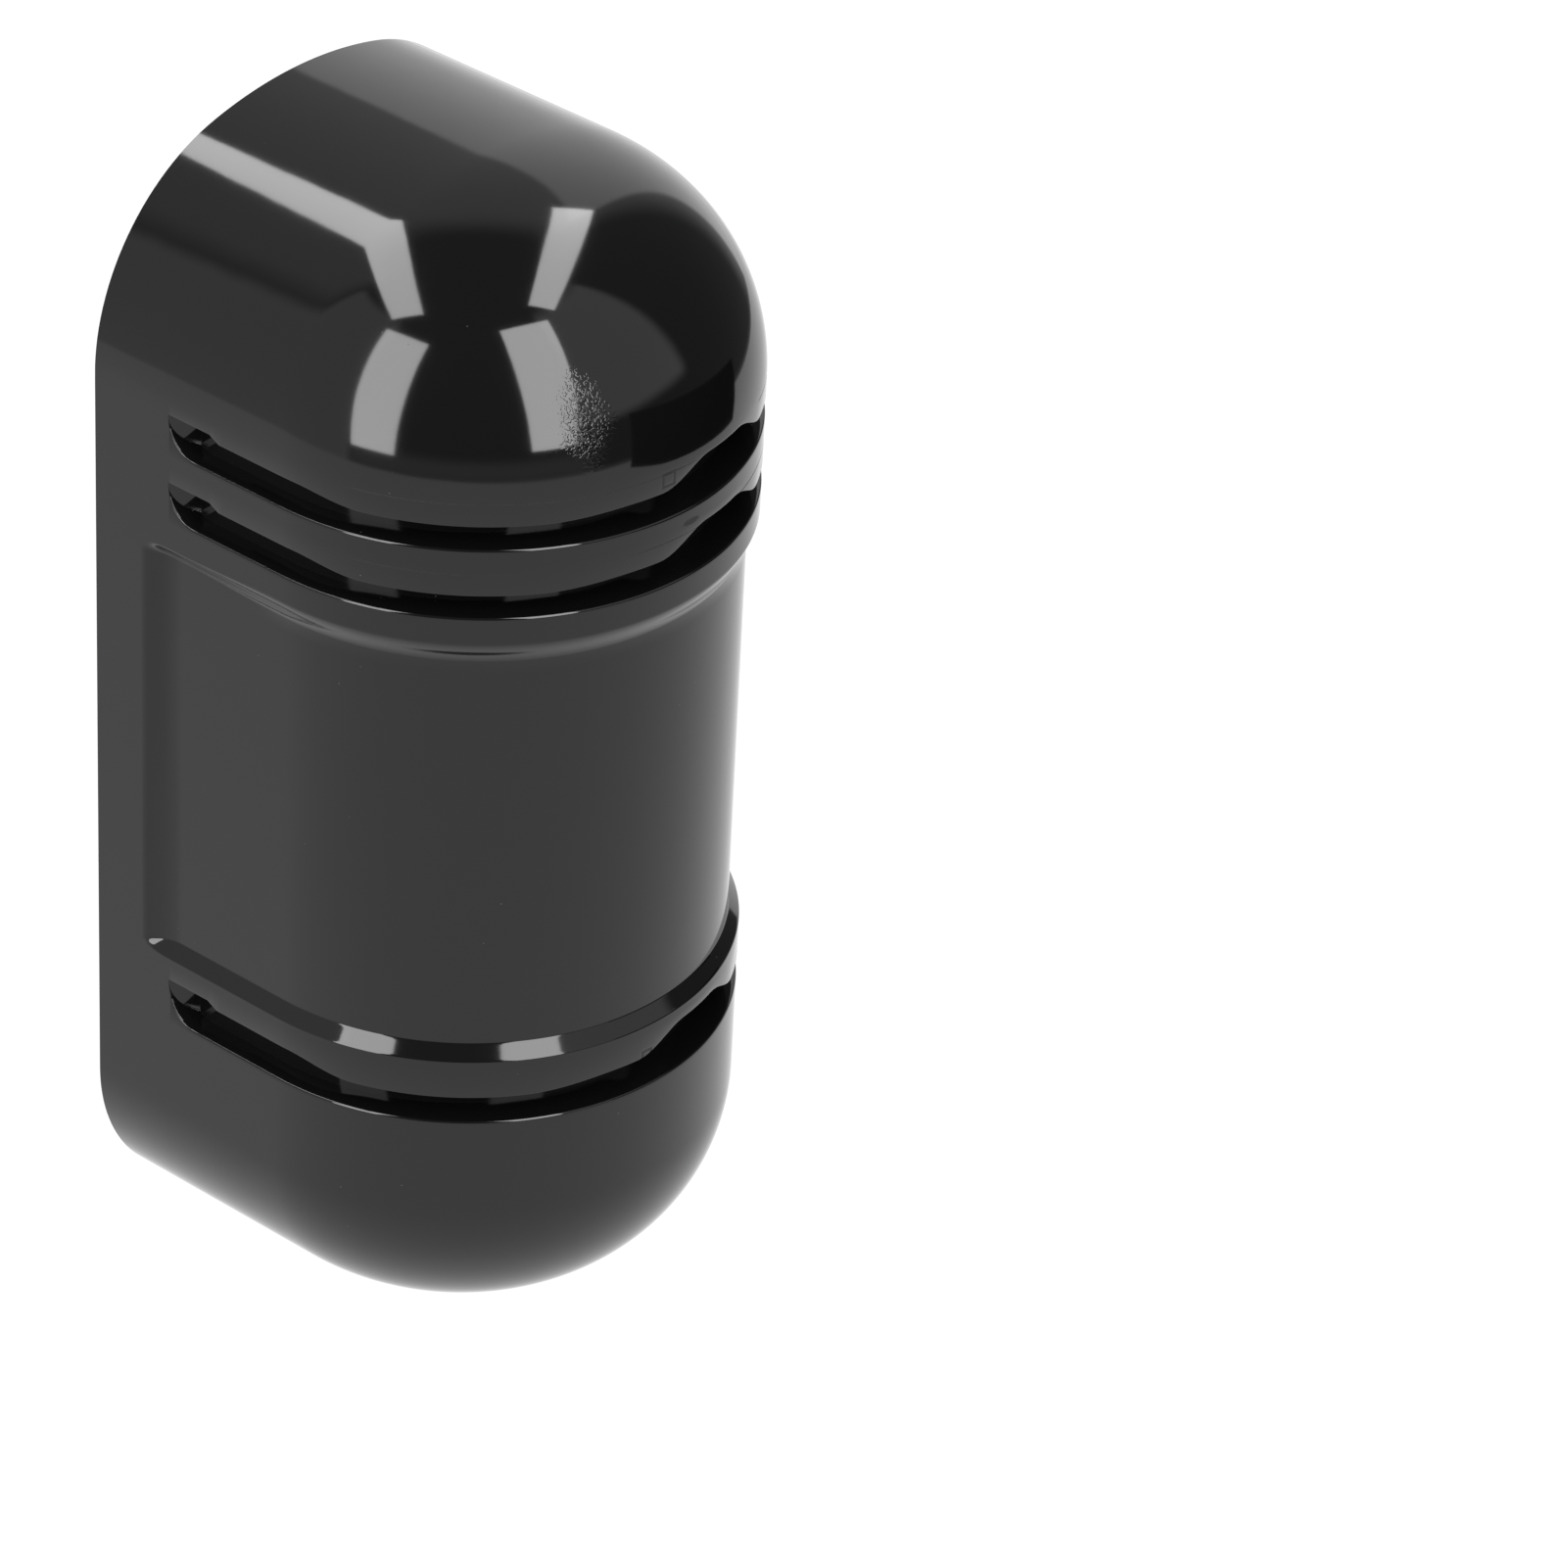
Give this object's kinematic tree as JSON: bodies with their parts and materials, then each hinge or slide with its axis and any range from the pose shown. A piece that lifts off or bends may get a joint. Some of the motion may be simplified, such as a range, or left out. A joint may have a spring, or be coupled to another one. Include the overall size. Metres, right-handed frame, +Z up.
{
  "type": "outdoor infrared beam sensor",
  "caption": "Wall-mounted outdoor infrared beam sensor: a glossy black domed cover with wrap-round grooves over a swivelling, tilting two-lens optical head.",
  "frame": {"origin": "on the wall, midway between the two wall screws, at the wall plate's back face", "axes": "+Z up, -Y out from the wall through the front of the cover, +X to the right as seen when facing the cover's front"},
  "size_m": [0.076, 0.072, 0.171],
  "materials": {
    "cover_plastic": "gloss",
    "chassis_plastic": "fine grain",
    "head_plastic": "satin",
    "seal_rubber": "matt",
    "plate_steel": "zinc plated",
    "screw_steel": "plated",
    "nut_brass": "turned",
    "lens_plastic": "clear dark",
    "mirror_glass": "silvered",
    "board_laminate": "solder mask",
    "chip_plastic": "moulded",
    "relay_plastic": "moulded",
    "capacitor_sleeve": "sleeve",
    "led_plastic": "diffuse",
    "diode_plastic": "clear",
    "switch_red": "moulded",
    "switch_white": "moulded",
    "trimmer_blue": "moulded",
    "terminal_green": "moulded"
  },
  "bodies": {
    "base": {"cover_seal": "seal_rubber", "wall_plate": "plate_steel", "chassis": "chassis_plastic", "unit_lock_screw": "screw_steel", "cable_grommet": "seal_rubber", "swivel_shelf": "chassis_plastic", "shelf_screws": "screw_steel", "main_board": "board_laminate", "main_board_parts": "chip_plastic", "relay": "relay_plastic", "capacitors": "capacitor_sleeve", "main_board_screws": "screw_steel", "control_board": "board_laminate", "control_board_screws": "screw_steel", "status_leds": "led_plastic", "test_jack": "relay_plastic", "dip_switch_body": "switch_red", "trimmer_body": "trimmer_blue", "tamper_switch": "chip_plastic", "terminal_board": "board_laminate", "terminal_board_screws": "screw_steel", "terminal_block": "terminal_green", "terminal_clamps": "nut_brass", "terminal_screws": "screw_steel"},
    "cover": {"cover": "cover_plastic", "cover_clamp_nut": "nut_brass"},
    "cover_screw": {"cover_screw": "screw_steel"},
    "swivel": {"turntable_yoke": "head_plastic", "hub_washer": "screw_steel", "hub_screw": "screw_steel"},
    "tilt_screw": {"tilt_screw": "screw_steel", "tilt_screw_clip": "screw_steel"},
    "tilt_nut": {"tilt_nut": "nut_brass"},
    "head": {"head_housing": "head_plastic", "head_back_cover": "head_plastic", "head_screws": "screw_steel", "upper_lens": "lens_plastic", "lower_lens": "lens_plastic", "upper_bezel": "head_plastic", "lower_bezel": "head_plastic", "light_shields": "chip_plastic", "upper_diode_board": "board_laminate", "lower_diode_board": "board_laminate", "upper_diode": "diode_plastic", "lower_diode": "diode_plastic", "sight_mirror": "mirror_glass", "sight_cap": "head_plastic", "tilt_pins": "screw_steel"},
    "trimmer_rotor": {"trimmer_rotor": "switch_white"},
    "tamper_plunger": {"tamper_plunger": "switch_white"},
    "dip_slider_1": {"dip_slider_1": "switch_white"},
    "dip_slider_2": {"dip_slider_2": "switch_white"},
    "dip_slider_3": {"dip_slider_3": "switch_white"},
    "dip_slider_4": {"dip_slider_4": "switch_white"}
  },
  "joints": [
    {"name": "cover_pull", "type": "slide", "parent": "base", "child": "cover", "axis": [0, -1, 0], "range_m": [0, 0.09]},
    {"name": "cover_screw_turn", "type": "hinge", "parent": "cover", "child": "cover_screw", "pos_m": [0, -0.016, -0.0825], "axis": [0, 0, 1], "continuous": true},
    {"name": "head_swivel", "type": "hinge", "parent": "base", "child": "swivel", "pos_m": [0, -0.034, -0.0475], "axis": [0, 0, 1], "range_deg": [-90, 90]},
    {"name": "head_tilt", "type": "hinge", "parent": "swivel", "child": "head", "pos_m": [0, -0.034, 0.0003], "axis": [1, 0, 0], "range_deg": [-10, 10]},
    {"name": "tilt_screw_turn", "type": "hinge", "parent": "swivel", "child": "tilt_screw", "pos_m": [0, -0.034, -0.0408], "axis": [0, 1, 0], "range_deg": [-2371, 2371]},
    {"name": "tilt_nut_travel", "type": "slide", "parent": "swivel", "child": "tilt_nut", "axis": [0, 1, 0], "range_m": [-0.0067, 0.0067]},
    {"name": "trimmer_turn", "type": "hinge", "parent": "base", "child": "trimmer_rotor", "pos_m": [-0.011, -0.011, 0.068], "axis": [0, -1, 0], "range_deg": [-135, 135]},
    {"name": "tamper_press", "type": "slide", "parent": "base", "child": "tamper_plunger", "axis": [0, 1, 0], "range_m": [0, 0.0015], "stiffness_N_per_m": 400, "springref_m": -0.001},
    {"name": "dip_slider_1_travel", "type": "slide", "parent": "base", "child": "dip_slider_1", "axis": [0, 0, 1], "range_m": [0, 0.0016]},
    {"name": "dip_slider_2_travel", "type": "slide", "parent": "base", "child": "dip_slider_2", "axis": [0, 0, 1], "range_m": [0, 0.0016]},
    {"name": "dip_slider_3_travel", "type": "slide", "parent": "base", "child": "dip_slider_3", "axis": [0, 0, 1], "range_m": [0, 0.0016]},
    {"name": "dip_slider_4_travel", "type": "slide", "parent": "base", "child": "dip_slider_4", "axis": [0, 0, 1], "range_m": [0, 0.0016]}
  ],
  "couplings": [
    {"joint": "tilt_screw_turn", "follows": "head_tilt", "ratio": 236.88},
    {"joint": "tilt_nut_travel", "follows": "head_tilt", "m_per_rad": 0.0377}
  ]
}
